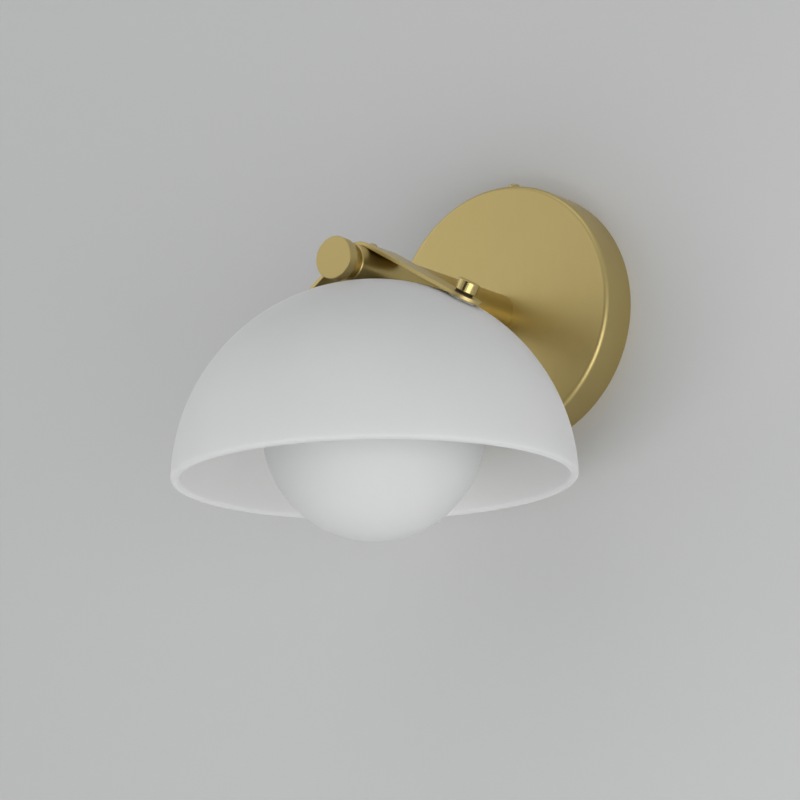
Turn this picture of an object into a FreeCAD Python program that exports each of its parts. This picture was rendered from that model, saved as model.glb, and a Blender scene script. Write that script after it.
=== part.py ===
"""Wall sconce with a down-turned opal glass shade hung under a straight brass arm.

Frame: the wall is the plane Y = 0 and the room lies towards -Y. Z is up. The origin is
the centre of the canopy on the wall, and the arm runs out from it along -Y.
All sizes are millimetres. Each sub-part below is one function, and the last section
writes every one of them to its own file.
"""
import FreeCAD, Part
import math
import os

from FreeCAD import Vector

# ---- canopy and its bracket ------------------------------------------------------
canopy_radius = 63.5
canopy_depth = 20.5
canopy_wall = 1.2
canopy_corner = 2.2
canopy_screw_turn = 6.0          # degrees from the vertical, seen from the room
canopy_screw_height = 13.0       # distance of the screw's axis from the wall
canopy_screw_radius = 1.95
canopy_head_radius = 2.75
canopy_head_height = 3.0
canopy_screw_length = 7.5

bracket_width = 28.0
bracket_thickness = 1.8
bracket_margin = 1.0             # left between the bracket's ends and the canopy wall
ear_width = 12.0
ear_depth = 17.5                 # how far the ears stand out from the wall
ear_margin = 0.6                 # left between an ear and the canopy wall
wire_hole_radius = 8.0
slot_pitch = 79.5                # centre to centre of the two slots
slot_travel = 9.5
slot_radius = 2.3

earth_screw_place = 22.0         # height of the earth screw above the centre
earth_screw_radius = 2.0
earth_head_radius = 4.0
earth_head_height = 2.4
earth_screw_length = 7.0

head_rise_share = 0.45           # of a screw head's height: how far its dome rises
head_slot_share = 0.6            # of a screw head's height: where its slot ends

# ---- terminal block --------------------------------------------------------------
pole_pitch = 5.08
block_margin = 3.0               # plastic beyond the outer poles
block_top = 15.0                 # distance of its upper face below the arm's axis
block_height = 12.0
block_depth = 11.0
terminal_screw_radius = 1.6
terminal_screw_sink = 0.6
terminal_slot_width = 0.6
terminal_slot_depth = 0.6

# ---- arm -------------------------------------------------------------------------
arm_radius = 9.2
arm_wall = 1.5
arm_overhang = 18.4              # tube beyond the shade's axis
arm_end_chamfer = 0.4
head_reach = 120.0               # distance of the shade's axis from the wall
plug_length = 16.0
nipple_radius = 4.9
nipple_bore = 3.6
nipple_inside_canopy = 7.5       # how far it stands behind the canopy's face
nipple_in_plug = 13.0
lock_washer_radius = 8.6
lock_washer_thickness = 1.0
lock_washer_teeth = 8
lock_washer_notch_width = 1.0
lock_washer_notch_depth = 1.6
hex_nut_flats = 14.0
hex_nut_thickness = 4.0

cap_radius = 9.9
cap_thickness = 5.3
cap_edge = 0.45
cap_gap = 5.0                    # shadow gap between the tube's end and the cap
cap_neck_radius = 7.1
cap_plug_margin = 1.0            # left in the tube between the cap's plug and the stem block

# ---- strap and its screw ---------------------------------------------------------
strap_width = 23.0               # over the tube
strap_end_radius = 9.2           # the legs taper to it
strap_thickness = 1.8
strap_screw_radius = 1.5
strap_screw_length = 6.0
strap_head_radius = 2.5
strap_head_height = 3.0
strap_spot_depth = 0.5           # depth of the flat that the screw's head sits on

# ---- glass shade -----------------------------------------------------------------
shade_radius = 91.8
shade_wall = 4.0
shade_top_drop = 7.4             # top of the whole sphere below the arm's axis
shade_lip_rise = 2.2             # centre of the rim's round lip above the sphere's centre
shade_crown_drop = 10.2          # flat top of the crown below the arm's axis
shade_crown_fillet = 10.0
shade_stem_hole = 6.0
shade_stud_hole = 4.0

# ---- studs, washers and thumb nuts on the shade ----------------------------------
pad_washer_thickness = 0.6
pad_washer_radius = 6.5
inner_washer_thickness = 0.9
stud_radius = 2.45
stud_flange_radius = 7.0
stud_flange_thickness = 1.6
stud_slot_width = 1.2
stud_slot_depth = 0.8
collar_radius = 4.2
collar_height = 1.0
thumb_nut_radius = 5.1
thumb_nut_height = 5.0
thumb_nut_edge = 0.35
thumb_nut_roof = 0.8             # metal left over the blind thread

# ---- stem, fitter, lamp and globe ------------------------------------------------
saddle_radius = 8.0
saddle_wrap = 1.2                # height of the saddle up the sides of the tube
gasket_thickness = 0.6
stem_block_length = 22.0
channel_half_width = 3.8
channel_roof = 3.0
under_washer_thickness = 0.8
fitter_plate = 1.2
fitter_wall = 1.2
fitter_depth = 12.0
fitter_nut_flats = 14.0
fitter_nut_thickness = 3.0
holder_radius = 9.0
holder_height = 18.0
holder_socket = 4.5              # depth of the thread in the top of the lamp holder
holder_waist = 7.8
holder_waist_drop = 8.1          # below the holder's top
holder_waist_height = 2.7
lamp_radius = 8.0
lamp_length = 46.0
lamp_base_radius = 6.6
lamp_base_height = 7.0
lamp_pin_radius = 0.6
lamp_pin_pitch = 9.0
lamp_pin_length = 7.0
lamp_pin_hole = 8.0
globe_radius = 50.5
globe_wall = 2.5
globe_neck_straight = 9.4        # from the neck's rim to where it starts to widen
globe_neck_radius = 19.0
globe_neck_fillet = 2.0
globe_gasket_thickness = 1.0

# ---- leads -----------------------------------------------------------------------
lead_radius = 0.8
lead_bend = 5.5

# ---- clearances ------------------------------------------------------------------
seat_gap = 0.05                  # between pieces that are pressed or screwed together
sliding_gap = 0.1                # radial, between a rod and a plain hole it is pushed through
washer_gap = 0.15                # radial, between a rod or wire and a loose washer or way
screw_gap = 0.25                 # radial, between a screw or stud and its clearance hole
turning_fit = 0.06               # radial, between a nut or neck and what it turns on
turning_gap = 0.25               # endwise, between a turning piece and its seat
slot_width = 1.0

# ---- places worked out from the sizes above --------------------------------------
arm_end = head_reach + arm_overhang
shade_centre_drop = shade_radius + shade_top_drop

origin = Vector(0, 0, 0)
along_x = Vector(1, 0, 0)
along_y = Vector(0, 1, 0)
along_z = Vector(0, 0, 1)
outwards = Vector(0, -1, 0)
head_axis = Vector(0, -head_reach, 0)
shade_centre = Vector(0, -head_reach, -shade_centre_drop)

arm_bore = arm_radius - arm_wall
plug_radius = arm_bore - seat_gap
cap_plug_length = arm_overhang - stem_block_length / 2 - cap_plug_margin
strap_inner = arm_radius + seat_gap
strap_outer = strap_inner + strap_thickness
strap_under = shade_radius + pad_washer_thickness
strap_over = strap_under + strap_thickness
strap_slope = math.acos((strap_under - strap_inner) / shade_centre_drop)
strap_leg = shade_centre_drop * math.sin(strap_slope)

canopy_face_inside = canopy_depth - canopy_wall
canopy_inner = canopy_radius - canopy_wall
nipple_end = canopy_face_inside - nipple_inside_canopy

crown_under = -shade_crown_drop - shade_wall
fitter_top = crown_under - under_washer_thickness
fitter_under = fitter_top - fitter_plate
holder_top = fitter_under - fitter_nut_thickness
holder_floor = holder_top - holder_socket
stem_top = -channel_half_width - seat_gap
stem_bottom = holder_floor + lead_radius
neck_top = fitter_under - globe_gasket_thickness - turning_gap
fitter_inner = globe_neck_radius + turning_fit
globe_flare_x = globe_neck_radius + globe_neck_fillet
globe_flare_z = math.sqrt((globe_radius + globe_neck_fillet) ** 2 - globe_flare_x ** 2)
globe_centre_drop = globe_neck_straight + globe_flare_z - neck_top
lead_drop = lead_bend - nipple_end               # where the leads turn down behind the arm


def cylinder(radius, start, axis, length):
    return Part.makeCylinder(radius, length, start, axis)


def ring(radius, bore, start, axis, length):
    return cylinder(radius, start, axis, length).cut(cylinder(bore, start, axis, length))


def block(low, high):
    size = high - low
    return Part.makeBox(size.x, size.y, size.z, low)


def edge(start, end):
    return Part.makeLine(start, end)


def arc(start, middle, end):
    return Part.Arc(start, middle, end).toShape()


def revolved(edges, axis):
    """A closed outline turned about an axis through the origin."""
    return Part.Face(Part.Wire(edges)).revolve(origin, axis, 360)


def polar(centre, radius, angle):
    """The point at an angle from +X towards +Z, in the plane Y = 0."""
    return centre + Vector(radius * math.cos(angle), 0, radius * math.sin(angle))


def hexagon(flats, thickness):
    """A hexagonal nut blank standing on the plane Z = 0, with its corners turned off."""
    corner = flats / math.sqrt(3)
    points = [Vector(corner * math.cos(math.radians(a)), corner * math.sin(math.radians(a)), 0)
              for a in range(0, 420, 60)]
    blank = Part.Face(Part.makePolygon(points)).extrude(along_z * thickness)
    spread = corner - flats / 2
    turned = Part.makeCone(flats / 2 + thickness, flats / 2, thickness, origin, along_z)
    return blank.common(turned.fuse(cylinder(corner, origin, along_z, thickness - spread)))


def button_head(radius, height):
    """A slotted screw head on the plane Z = 0: a short cylinder under a low dome."""
    rise = head_rise_share * height
    ball = (radius * radius + rise * rise) / (2 * rise)
    dome = Part.makeSphere(ball, Vector(0, 0, height - ball))
    head = cylinder(radius, origin, along_z, height).common(dome)
    slot = block(Vector(-slot_width / 2, -radius, head_slot_share * height),
                 Vector(slot_width / 2, radius, height))
    return head.cut(slot)


def screw(head_radius, head_height, shank_radius, shank_length):
    """A slotted screw whose head sits on the plane Z = 0 and whose shank hangs below it."""
    shank = cylinder(shank_radius, Vector(0, 0, -shank_length), along_z, shank_length)
    return button_head(head_radius, head_height).fuse(shank).removeSplitter()


def on_shade(shape, side):
    """Turns a shape that stands on the shade's vertical axis to the pad on one side."""
    shape.rotate(origin, along_y, side * math.degrees(strap_slope))
    shape.translate(shade_centre)
    return shape


def both_pads(make):
    """One solid for each of the two pads, in one group."""
    return Part.makeCompound([on_shade(make(), side) for side in (-1, 1)])


def around_canopy(shape, turn):
    """Turns a shape that stands on top of the canopy round the arm's axis."""
    shape.rotate(origin, along_y, turn)
    return shape


# ---- wall side -------------------------------------------------------------------

def wall_bracket():
    """A flat bar with two slots, a wire hole and two ears bent out to the side screws."""
    reach = canopy_inner - bracket_margin
    bar = block(Vector(-bracket_width / 2, -bracket_thickness, -reach),
                Vector(bracket_width / 2, 0, reach))
    bar = bar.common(cylinder(reach, outwards * bracket_thickness, along_y, bracket_thickness))
    ear_face = math.sqrt(canopy_inner ** 2 - (ear_width / 2) ** 2) - ear_margin
    for turn in (canopy_screw_turn, canopy_screw_turn + 180):
        ear = block(Vector(-ear_width / 2, -ear_depth, ear_face - bracket_thickness),
                    Vector(ear_width / 2, 0, ear_face))
        rounded = [e for e in ear.Edges if abs(e.CenterOfMass.y + ear_depth) < seat_gap
                   and abs(abs(e.CenterOfMass.x) - ear_width / 2) < seat_gap]
        ear = ear.makeFillet(ear_width / 4, rounded)
        tapped = cylinder(canopy_screw_radius + seat_gap,
                          Vector(0, -canopy_screw_height, canopy_inner / 2), along_z, canopy_inner)
        bar = bar.fuse(around_canopy(ear.cut(tapped), turn))
    bar = bar.removeSplitter()
    bar = bar.cut(cylinder(wire_hole_radius, outwards * ear_depth, along_y, ear_depth))
    bar = bar.cut(cylinder(earth_screw_radius + seat_gap,
                           Vector(0, -bracket_thickness, earth_screw_place), along_y,
                           bracket_thickness))
    for side in (-1, 1):
        for end in (-1, 1):
            centre = Vector(0, -bracket_thickness, side * slot_pitch / 2 + end * slot_travel / 2)
            bar = bar.cut(cylinder(slot_radius, centre, along_y, bracket_thickness))
        low = Vector(-slot_radius, -bracket_thickness, side * slot_pitch / 2 - slot_travel / 2)
        high = Vector(slot_radius, 0, side * slot_pitch / 2 + slot_travel / 2)
        bar = bar.cut(block(low, high))
    return bar


def earth_screw():
    """The screw for the supply's earth wire, in the bar above the wire hole."""
    piece = screw(earth_head_radius, earth_head_height, earth_screw_radius, earth_screw_length)
    piece.rotate(origin, along_x, 90)
    piece.translate(Vector(0, -bracket_thickness, earth_screw_place))
    return piece


def canopy_cover():
    """A spun cup with a rounded front corner, a hole for the arm and two screw holes."""
    hole = nipple_radius + sliding_gap
    inner_corner = canopy_corner - canopy_wall
    diagonal = 1 - math.sqrt(0.5)
    side = canopy_radius - canopy_corner
    edges = [
        edge(Vector(canopy_radius, 0, 0), Vector(canopy_radius, canopy_corner - canopy_depth, 0)),
        arc(Vector(canopy_radius, canopy_corner - canopy_depth, 0),
            Vector(canopy_radius - diagonal * canopy_corner,
                   diagonal * canopy_corner - canopy_depth, 0),
            Vector(side, -canopy_depth, 0)),
        edge(Vector(side, -canopy_depth, 0), Vector(hole, -canopy_depth, 0)),
        edge(Vector(hole, -canopy_depth, 0), Vector(hole, -canopy_face_inside, 0)),
        edge(Vector(hole, -canopy_face_inside, 0), Vector(side, -canopy_face_inside, 0)),
        arc(Vector(side, -canopy_face_inside, 0),
            Vector(canopy_inner - diagonal * inner_corner,
                   diagonal * inner_corner - canopy_face_inside, 0),
            Vector(canopy_inner, inner_corner - canopy_face_inside, 0)),
        edge(Vector(canopy_inner, inner_corner - canopy_face_inside, 0),
             Vector(canopy_inner, 0, 0)),
        edge(Vector(canopy_inner, 0, 0), Vector(canopy_radius, 0, 0)),
    ]
    cup = revolved(edges, along_y)
    for turn in (canopy_screw_turn, canopy_screw_turn + 180):
        drilled = cylinder(canopy_screw_radius + screw_gap,
                           Vector(0, -canopy_screw_height, canopy_inner - canopy_wall),
                           along_z, 3 * canopy_wall)
        cup = cup.cut(around_canopy(drilled, turn))
    return cup


def canopy_screw(turn):
    """A side screw through the canopy's wall into an ear of the bracket."""
    piece = screw(canopy_head_radius, canopy_head_height, canopy_screw_radius,
                  canopy_screw_length)
    piece.translate(Vector(0, -canopy_screw_height, canopy_radius))
    return around_canopy(piece, turn)


def canopy_screws():
    turns = (canopy_screw_turn, canopy_screw_turn + 180)
    return Part.makeCompound([canopy_screw(turn) for turn in turns])


def terminal_block():
    """A two-pole block on the bar below the wire hole, open at its top and bottom."""
    half = pole_pitch / 2 + block_margin
    front = -bracket_thickness - block_depth
    body = block(Vector(-half, front, -block_top - block_height),
                 Vector(half, -bracket_thickness, -block_top))
    corners = [e for e in body.Edges if abs(e.CenterOfMass.y - front) < seat_gap]
    body = body.makeFillet(block_margin / 4, corners)
    for side in (-1, 1):
        x = side * pole_pitch / 2
        wire_way = cylinder(lead_radius + washer_gap, Vector(x, lead_drop, -block_top), -along_z,
                            block_height)
        screw_way = cylinder(terminal_screw_radius + seat_gap,
                             Vector(x, front, -block_top - block_height / 2), along_y,
                             lead_drop - front)
        body = body.cut(wire_way).cut(screw_way)
    return body


def terminal_screws():
    """The clamping screws of the two poles, sunk in the block's front."""
    front = -bracket_thickness - block_depth + terminal_screw_sink
    screw_place = -block_top - block_height / 2
    solids = []
    for side in (-1, 1):
        length = lead_drop - lead_radius - sliding_gap - front
        x = side * pole_pitch / 2
        piece = cylinder(terminal_screw_radius, Vector(x, front, screw_place), along_y, length)
        slot = block(Vector(x - terminal_screw_radius, front, screw_place - terminal_slot_width / 2),
                     Vector(x + terminal_screw_radius, front + terminal_slot_depth,
                            screw_place + terminal_slot_width / 2))
        solids.append(piece.cut(slot))
    return Part.makeCompound(solids)


# ---- arm -------------------------------------------------------------------------

def arm_tube():
    """A straight tube with a chamfered free end, drilled above and below at the head."""
    length = arm_end - canopy_depth
    tube = ring(arm_radius, arm_bore, outwards * arm_end, along_y, length)
    outer_end = [e for e in tube.Edges if abs(e.CenterOfMass.y + arm_end) < seat_gap
                 and abs(e.BoundBox.XLength - 2 * arm_radius) < seat_gap]
    tube = tube.makeChamfer(arm_end_chamfer, outer_end)
    tube = tube.cut(cylinder(nipple_radius + seat_gap, head_axis, -along_z, 2 * arm_radius))
    return tube.cut(cylinder(strap_screw_radius + screw_gap, head_axis, along_z,
                             2 * arm_radius))


def arm_root_plug():
    """The threaded insert in the end of the tube at the canopy."""
    start = outwards * (canopy_depth + plug_length)
    return ring(plug_radius, nipple_radius + seat_gap, start, along_y, plug_length)


def arm_nipple():
    """The hollow threaded rod that joins the arm to the canopy and passes the leads."""
    length = canopy_depth + nipple_in_plug - nipple_end
    start = outwards * (canopy_depth + nipple_in_plug)
    return ring(nipple_radius, nipple_bore, start, along_y, length)


def arm_lock_washer():
    start = outwards * canopy_face_inside
    washer = ring(lock_washer_radius, nipple_radius + washer_gap, start, along_y,
                  lock_washer_thickness)
    half = lock_washer_notch_width / 2
    for k in range(lock_washer_teeth):
        notch = block(Vector(-half, -canopy_face_inside, lock_washer_radius - lock_washer_notch_depth),
                      Vector(half, 0, lock_washer_radius))
        notch.rotate(origin, along_y, k * 360 / lock_washer_teeth)
        washer = washer.cut(notch)
    return washer


def arm_hex_nut():
    nut = hexagon(hex_nut_flats, hex_nut_thickness)
    nut = nut.cut(cylinder(nipple_radius + seat_gap, origin, along_z, hex_nut_thickness))
    nut.rotate(origin, along_x, -90)
    nut.translate(outwards * (canopy_face_inside - lock_washer_thickness))
    return nut


def arm_end_cap():
    """A disc on a narrower neck, closing the tube with a plug behind a shadow gap."""
    face_place = arm_end + cap_gap + cap_thickness
    disc = cylinder(cap_radius, outwards * face_place, along_y, cap_thickness)
    disc = disc.makeChamfer(cap_edge, [e for e in disc.Edges if len(e.Vertexes) == 1])
    neck = cylinder(cap_neck_radius, outwards * (arm_end + cap_gap), along_y, cap_gap)
    plug = cylinder(plug_radius, outwards * arm_end, along_y, cap_plug_length)
    return disc.fuse(neck).fuse(plug).removeSplitter()


# ---- strap over the arm ----------------------------------------------------------

def strap_arch():
    """The part of the strap that lies over the top of the tube."""
    def at(radius, angle):
        return polar(Vector(0, -head_reach - strap_width / 2, 0), radius, math.pi / 2 + angle)
    edges = [
        arc(at(strap_outer, -strap_slope), at(strap_outer, 0), at(strap_outer, strap_slope)),
        edge(at(strap_outer, strap_slope), at(strap_inner, strap_slope)),
        arc(at(strap_inner, strap_slope), at(strap_inner, 0), at(strap_inner, -strap_slope)),
        edge(at(strap_inner, -strap_slope), at(strap_outer, -strap_slope)),
    ]
    return Part.Face(Part.Wire(edges)).extrude(along_y * strap_width)


def strap_leg_plate():
    """A leg lying flat above the shade's axis, tapering to a round end that its sides touch."""
    half = strap_width / 2
    touch = math.atan2(strap_leg, half) + math.pi / 2 - math.acos(
        strap_end_radius / math.hypot(strap_leg, half))
    side_x = strap_end_radius * math.cos(touch)
    side_y = strap_end_radius * math.sin(touch)
    near, far = Vector(side_x, -side_y, strap_under), Vector(side_x, side_y, strap_under)
    tip = Vector(strap_end_radius, 0, strap_under)
    root_near = Vector(-strap_leg, -half, strap_under)
    root_far = Vector(-strap_leg, half, strap_under)
    outline = Part.Wire([edge(root_near, near), arc(near, tip, far), edge(far, root_far),
                         edge(root_far, root_near)])
    return Part.Face(outline).extrude(along_z * strap_thickness)


def shade_strap():
    """One flat band bent over the tube, with a leg down each side to the shade."""
    strap = strap_arch()
    for side in (-1, 1):
        leg = strap_leg_plate()
        if side < 0:
            leg.rotate(origin, along_z, 180)
        leg = leg.cut(cylinder(stud_radius + screw_gap, Vector(0, 0, strap_under), along_z,
                               strap_thickness))
        strap = strap.fuse(on_shade(leg, side))
    strap = strap.removeSplitter()
    spot = Vector(0, -head_reach, strap_outer - strap_spot_depth)
    strap = strap.cut(cylinder(strap_head_radius + sliding_gap, spot, along_z, strap_thickness))
    return strap.cut(cylinder(strap_screw_radius + screw_gap, head_axis, along_z,
                              2 * strap_outer))


def strap_screw():
    """The screw that pins the strap to the tube and to the block inside it."""
    length = strap_screw_length
    piece = screw(strap_head_radius, strap_head_height, strap_screw_radius, length)
    piece.rotate(origin, along_z, 90)
    piece.translate(Vector(0, -head_reach, strap_outer - strap_spot_depth))
    return piece


# ---- shade and what clamps it ----------------------------------------------------

def shade_outline():
    """Half the section of the shade: a spherical wall, a flat crown and a round lip."""
    centre = Vector(0, 0, -shade_centre_drop)
    inner_radius = shade_radius - shade_wall
    middle = shade_radius - shade_wall / 2
    lip_angle = math.asin(shade_lip_rise / middle)
    fillet_z = -shade_crown_drop - shade_crown_fillet
    fillet_x = math.sqrt((shade_radius - shade_crown_fillet) ** 2
                         - (fillet_z + shade_centre_drop) ** 2)
    fillet_centre = Vector(fillet_x, 0, fillet_z)
    shoulder = math.atan2(fillet_z + shade_centre_drop, fillet_x)
    half_wall = (lip_angle + shoulder) / 2
    half_fillet = (shoulder + math.pi / 2) / 2
    inner_fillet = shade_crown_fillet - shade_wall
    lip_bottom = polar(centre, middle, lip_angle)
    lip_bottom = lip_bottom + Vector(math.sin(lip_angle), 0, -math.cos(lip_angle)) * shade_wall / 2
    return [
        arc(polar(centre, inner_radius, lip_angle), lip_bottom,
            polar(centre, shade_radius, lip_angle)),
        arc(polar(centre, shade_radius, lip_angle), polar(centre, shade_radius, half_wall),
            polar(centre, shade_radius, shoulder)),
        arc(polar(centre, shade_radius, shoulder),
            polar(fillet_centre, shade_crown_fillet, half_fillet),
            Vector(fillet_x, 0, -shade_crown_drop)),
        edge(Vector(fillet_x, 0, -shade_crown_drop),
             Vector(shade_stem_hole, 0, -shade_crown_drop)),
        edge(Vector(shade_stem_hole, 0, -shade_crown_drop),
             Vector(shade_stem_hole, 0, crown_under)),
        edge(Vector(shade_stem_hole, 0, crown_under), Vector(fillet_x, 0, crown_under)),
        arc(Vector(fillet_x, 0, crown_under), polar(fillet_centre, inner_fillet, half_fillet),
            polar(centre, inner_radius, shoulder)),
        arc(polar(centre, inner_radius, shoulder), polar(centre, inner_radius, half_wall),
            polar(centre, inner_radius, lip_angle)),
    ]


def glass_shade():
    """The opal bowl, drilled at its crown for the stem and at each pad for a stud."""
    bowl = revolved(shade_outline(), along_z)
    bowl.translate(head_axis)
    for side in (-1, 1):
        low = Vector(0, 0, shade_radius - 2 * shade_wall)
        bowl = bowl.cut(on_shade(cylinder(shade_stud_hole, low, along_z, 3 * shade_wall), side))
    return bowl


def pad_washer():
    """A soft washer under the strap with a sleeve that lines the hole in the glass."""
    low = shade_radius - shade_wall + sliding_gap
    washer = cylinder(pad_washer_radius, Vector(0, 0, low), along_z, strap_under - low)
    washer = washer.cut(Part.makeSphere(shade_radius, origin))
    sleeve = cylinder(shade_stud_hole - seat_gap, Vector(0, 0, low), along_z, strap_under - low)
    bore = cylinder(stud_radius + sliding_gap, Vector(0, 0, low), along_z, strap_under - low)
    return washer.fuse(sleeve).removeSplitter().cut(bore)


def inner_washer():
    """A soft washer between a stud's flange and the inside of the glass."""
    top = shade_radius - shade_wall
    washer = ring(pad_washer_radius, stud_radius + sliding_gap,
                  Vector(0, 0, top - inner_washer_thickness), along_z, inner_washer_thickness)
    return washer.common(Part.makeSphere(top, origin))


def shade_stud():
    """A threaded stud with a slotted flange inside the shade and its end in the nut."""
    seat = shade_radius - shade_wall - inner_washer_thickness
    nut_top = strap_over + collar_height + turning_gap + thumb_nut_height
    tip = nut_top - thumb_nut_roof - turning_gap
    rod = cylinder(stud_radius, Vector(0, 0, seat - stud_flange_thickness), along_z,
                   tip - seat + stud_flange_thickness)
    flange = cylinder(stud_flange_radius, Vector(0, 0, seat - stud_flange_thickness), along_z,
                      stud_flange_thickness)
    rim = [e for e in flange.Edges if abs(e.CenterOfMass.z - seat + stud_flange_thickness) < 0.01]
    flange = flange.makeFillet(stud_flange_thickness / 3, rim)
    slot = block(Vector(-stud_flange_radius, -stud_slot_width / 2, seat - 2 * stud_flange_thickness),
                 Vector(stud_flange_radius, stud_slot_width / 2,
                        seat - stud_flange_thickness + stud_slot_depth))
    return rod.fuse(flange).removeSplitter().cut(slot)


def nut_collar():
    """The narrow dark washer that holds a thumb nut off the strap, in a shadow gap."""
    return ring(collar_radius, stud_radius + sliding_gap, Vector(0, 0, strap_over), along_z,
                collar_height)


def thumb_nut(side):
    """A plain round nut, closed at its top, that is turned by hand to free the shade."""
    base = strap_over + collar_height + turning_gap
    nut = cylinder(thumb_nut_radius, Vector(0, 0, base), along_z, thumb_nut_height)
    nut = nut.makeChamfer(thumb_nut_edge, [e for e in nut.Edges if len(e.Vertexes) == 1])
    bore = cylinder(stud_radius + turning_fit, Vector(0, 0, base), along_z,
                    thumb_nut_height - thumb_nut_roof)
    return on_shade(nut.cut(bore), side)


# ---- stem and fitter -------------------------------------------------------------

def stem_block():
    """The insert inside the tube that the strap screw and the lamp stem are screwed into."""
    start = head_axis - along_y * stem_block_length / 2
    body = cylinder(plug_radius, start, along_y, stem_block_length)
    channel = block(Vector(-channel_half_width, -head_reach - channel_half_width,
                           -channel_half_width),
                    Vector(channel_half_width, -head_reach + stem_block_length, channel_roof))
    stem_thread = cylinder(nipple_radius + seat_gap, head_axis, -along_z, arm_radius)
    screw_thread = cylinder(strap_screw_radius + seat_gap, head_axis, along_z, arm_radius)
    return body.cut(channel).cut(stem_thread).cut(screw_thread)


def stem_saddle():
    """A brass seat, hollowed to fit the underside of the tube, round the lamp stem."""
    low = -shade_crown_drop + gasket_thickness
    high = -arm_radius + saddle_wrap
    seat = ring(saddle_radius, nipple_radius + sliding_gap, head_axis + along_z * low, along_z,
                high - low)
    return seat.cut(cylinder(arm_radius + seat_gap, outwards * arm_end, along_y, arm_end))


def crown_gasket():
    """A soft ring between the saddle and the glass."""
    return ring(saddle_radius, nipple_radius + sliding_gap,
                head_axis - along_z * shade_crown_drop, along_z, gasket_thickness)


def under_washer():
    """A soft ring between the glass and the fitter."""
    return ring(saddle_radius, nipple_radius + sliding_gap, head_axis + along_z * fitter_top,
                along_z, under_washer_thickness)


def lamp_stem():
    """The hollow threaded rod from the block in the arm down to the lamp holder."""
    return ring(nipple_radius, nipple_bore, head_axis + along_z * stem_bottom, along_z,
                stem_top - stem_bottom)


def globe_fitter():
    """A spun cup, open below, whose coarse thread takes the neck of the globe."""
    outer = fitter_inner + fitter_wall
    low = head_axis + along_z * (fitter_top - fitter_depth)
    cup = cylinder(outer, low, along_z, fitter_depth)
    top = [e for e in cup.Edges if abs(e.CenterOfMass.z - fitter_top) < seat_gap]
    cup = cup.makeFillet(fitter_wall, top)
    cup = cup.cut(cylinder(fitter_inner, low, along_z, fitter_depth - fitter_plate))
    return cup.cut(cylinder(nipple_radius + seat_gap, low, along_z, fitter_depth))


def fitter_nut():
    nut = hexagon(fitter_nut_flats, fitter_nut_thickness)
    nut = nut.cut(cylinder(nipple_radius + seat_gap, origin, along_z, fitter_nut_thickness))
    nut.rotate(origin, along_x, 180)
    nut.translate(head_axis + along_z * fitter_under)
    return nut


def globe_gasket():
    """A soft ring that the rim of the globe's neck closes on."""
    start = head_axis + along_z * (fitter_under - globe_gasket_thickness)
    return ring(globe_neck_radius, globe_neck_radius - globe_wall, start, along_z,
                globe_gasket_thickness)


def lamp_holder():
    """A ceramic holder with a threaded top, a waist and two holes for the lamp's pins."""
    top = head_axis + along_z * holder_top
    body = cylinder(holder_radius, top, -along_z, holder_height)
    groove = ring(holder_radius, holder_waist, top - along_z * holder_waist_drop, -along_z,
                  holder_waist_height)
    body = body.cut(groove)
    body = body.cut(cylinder(nipple_radius + seat_gap, top, -along_z, holder_socket))
    foot = top - along_z * holder_height
    for side in (-1, 1):
        place = foot + along_x * side * lamp_pin_pitch / 2
        body = body.cut(cylinder(lamp_pin_radius + washer_gap, place, along_z,
                                 lamp_pin_hole))
    return body


def lamp():
    """A capsule lamp: a round-ended envelope on a base with two straight pins."""
    top = head_axis + along_z * (holder_top - holder_height - seat_gap)
    base = cylinder(lamp_base_radius, top, -along_z, lamp_base_height)
    straight = lamp_length - lamp_radius
    envelope = cylinder(lamp_radius, top - along_z * lamp_base_height, -along_z,
                        straight - lamp_base_height)
    tip = Part.makeSphere(lamp_radius, top - along_z * straight)
    piece = base.fuse(envelope).fuse(tip)
    for side in (-1, 1):
        place = top + along_x * side * lamp_pin_pitch / 2
        piece = piece.fuse(cylinder(lamp_pin_radius, place, along_z, lamp_pin_length))
    return piece.removeSplitter()


def globe_outline():
    """Half the section of the globe: a spherical wall that turns up into a short neck."""
    centre = Vector(0, 0, -globe_centre_drop)
    inner_radius = globe_radius - globe_wall
    neck_inside = globe_neck_radius - globe_wall
    fillet_centre = centre + Vector(globe_flare_x, 0, globe_flare_z)
    outer_join = math.atan2(globe_flare_z, globe_flare_x)
    inner_join = math.acos(neck_inside / inner_radius)
    bottom = -math.pi / 2
    return [
        edge(Vector(neck_inside, 0, neck_top), Vector(globe_neck_radius, 0, neck_top)),
        edge(Vector(globe_neck_radius, 0, neck_top),
             Vector(globe_neck_radius, 0, fillet_centre.z)),
        arc(Vector(globe_neck_radius, 0, fillet_centre.z),
            polar(fillet_centre, globe_neck_fillet, math.pi + outer_join / 2),
            polar(centre, globe_radius, outer_join)),
        arc(polar(centre, globe_radius, outer_join),
            polar(centre, globe_radius, (outer_join + bottom) / 2),
            polar(centre, globe_radius, bottom)),
        edge(polar(centre, globe_radius, bottom), polar(centre, inner_radius, bottom)),
        arc(polar(centre, inner_radius, bottom),
            polar(centre, inner_radius, (inner_join + bottom) / 2),
            polar(centre, inner_radius, inner_join)),
        edge(polar(centre, inner_radius, inner_join), Vector(neck_inside, 0, neck_top)),
    ]


def globe():
    """The inner opal globe, turned by hand out of the fitter to reach the lamp."""
    ball = revolved(globe_outline(), along_z)
    ball.translate(head_axis)
    return ball


# ---- leads -----------------------------------------------------------------------

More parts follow.
